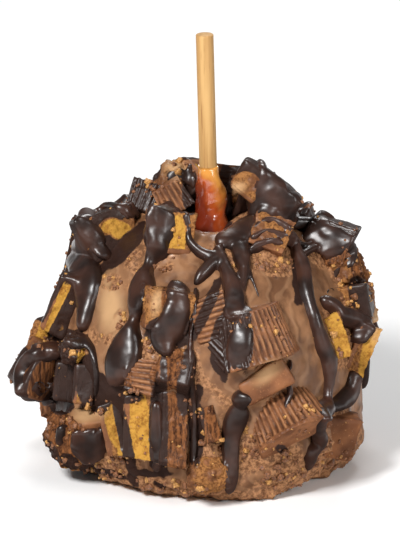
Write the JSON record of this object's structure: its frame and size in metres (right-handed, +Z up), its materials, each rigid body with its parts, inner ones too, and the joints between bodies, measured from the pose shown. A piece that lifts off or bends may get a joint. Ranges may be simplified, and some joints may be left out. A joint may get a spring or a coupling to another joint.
{
  "type": "caramel apple",
  "caption": "Caramel apple on a round wooden stick, coated in milk chocolate, packed with chopped peanut butter cups and drizzled with dark chocolate; rests on its flat foot.",
  "frame": {"origin": "middle of the apple's flat foot, on the surface it stands on", "axes": "+Z up along the stick, -Y towards the viewer of the shown side, +X to that viewer's right"},
  "size_m": [0.1394, 0.139, 0.159],
  "materials": {
    "milk_chocolate": "semi-gloss milk chocolate coat with dark chocolate drizzle",
    "cup_chocolate": "satin chopped chocolate cup",
    "peanut_crumb": "dry crumbly peanut filling",
    "caramel": "wet glossy caramel",
    "stick_wood": "plain sanded wood"
  },
  "bodies": {
    "root": {"back_crown_1": "cup_chocolate", "back_crown_2": "cup_chocolate", "back_low_1": "cup_chocolate", "back_low_2": "cup_chocolate", "back_low_3": "cup_chocolate", "back_low_4": "cup_chocolate", "back_low_5": "cup_chocolate", "back_middle_1": "cup_chocolate", "back_middle_2": "cup_chocolate", "back_middle_3": "cup_chocolate", "back_middle_4": "cup_chocolate", "back_middle_5": "cup_chocolate", "back_middle_6": "cup_chocolate", "back_shoulder_1": "cup_chocolate", "back_shoulder_2": "cup_chocolate", "back_shoulder_3": "cup_chocolate", "back_shoulder_4": "cup_chocolate", "back_upper_1": "cup_chocolate", "back_upper_2": "cup_chocolate", "back_upper_3": "cup_chocolate", "back_upper_4": "cup_chocolate", "back_upper_5": "cup_chocolate", "caramel": "caramel", "coated_apple": "milk_chocolate", "crown_crumb_back": "peanut_crumb", "crown_crumb_left": "peanut_crumb", "crown_dark_left": "cup_chocolate", "crown_large_right": "cup_chocolate", "crown_pleats_left": "cup_chocolate", "far_left_lobe": "cup_chocolate", "left_bead": "peanut_crumb", "left_chunk": "cup_chocolate", "left_long_slab": "cup_chocolate", "left_nub": "peanut_crumb", "left_plank_inner": "cup_chocolate", "left_plank_outer": "cup_chocolate", "left_red_mass": "cup_chocolate", "left_ridged": "cup_chocolate", "low_crumb_left": "peanut_crumb", "low_crumb_middle": "peanut_crumb", "low_dome_left": "cup_chocolate", "low_gold_large": "cup_chocolate", "low_gold_thin": "cup_chocolate", "low_mass_right": "cup_chocolate", "low_pleats_right": "cup_chocolate", "low_rough_slab": "cup_chocolate", "low_tan_middle": "cup_chocolate", "middle_dark_ridges": "cup_chocolate", "middle_large": "cup_chocolate", "middle_lobe": "cup_chocolate", "middle_ridged": "cup_chocolate", "shoulder_blob_left": "cup_chocolate", "shoulder_dark_right": "cup_chocolate", "shoulder_large_left": "cup_chocolate", "shoulder_striped": "cup_chocolate", "side_band_right": "cup_chocolate", "side_crumb_right": "peanut_crumb", "side_gold_right": "cup_chocolate", "side_hollow_right": "cup_chocolate", "stick": "stick_wood"}
  },
  "joints": []
}
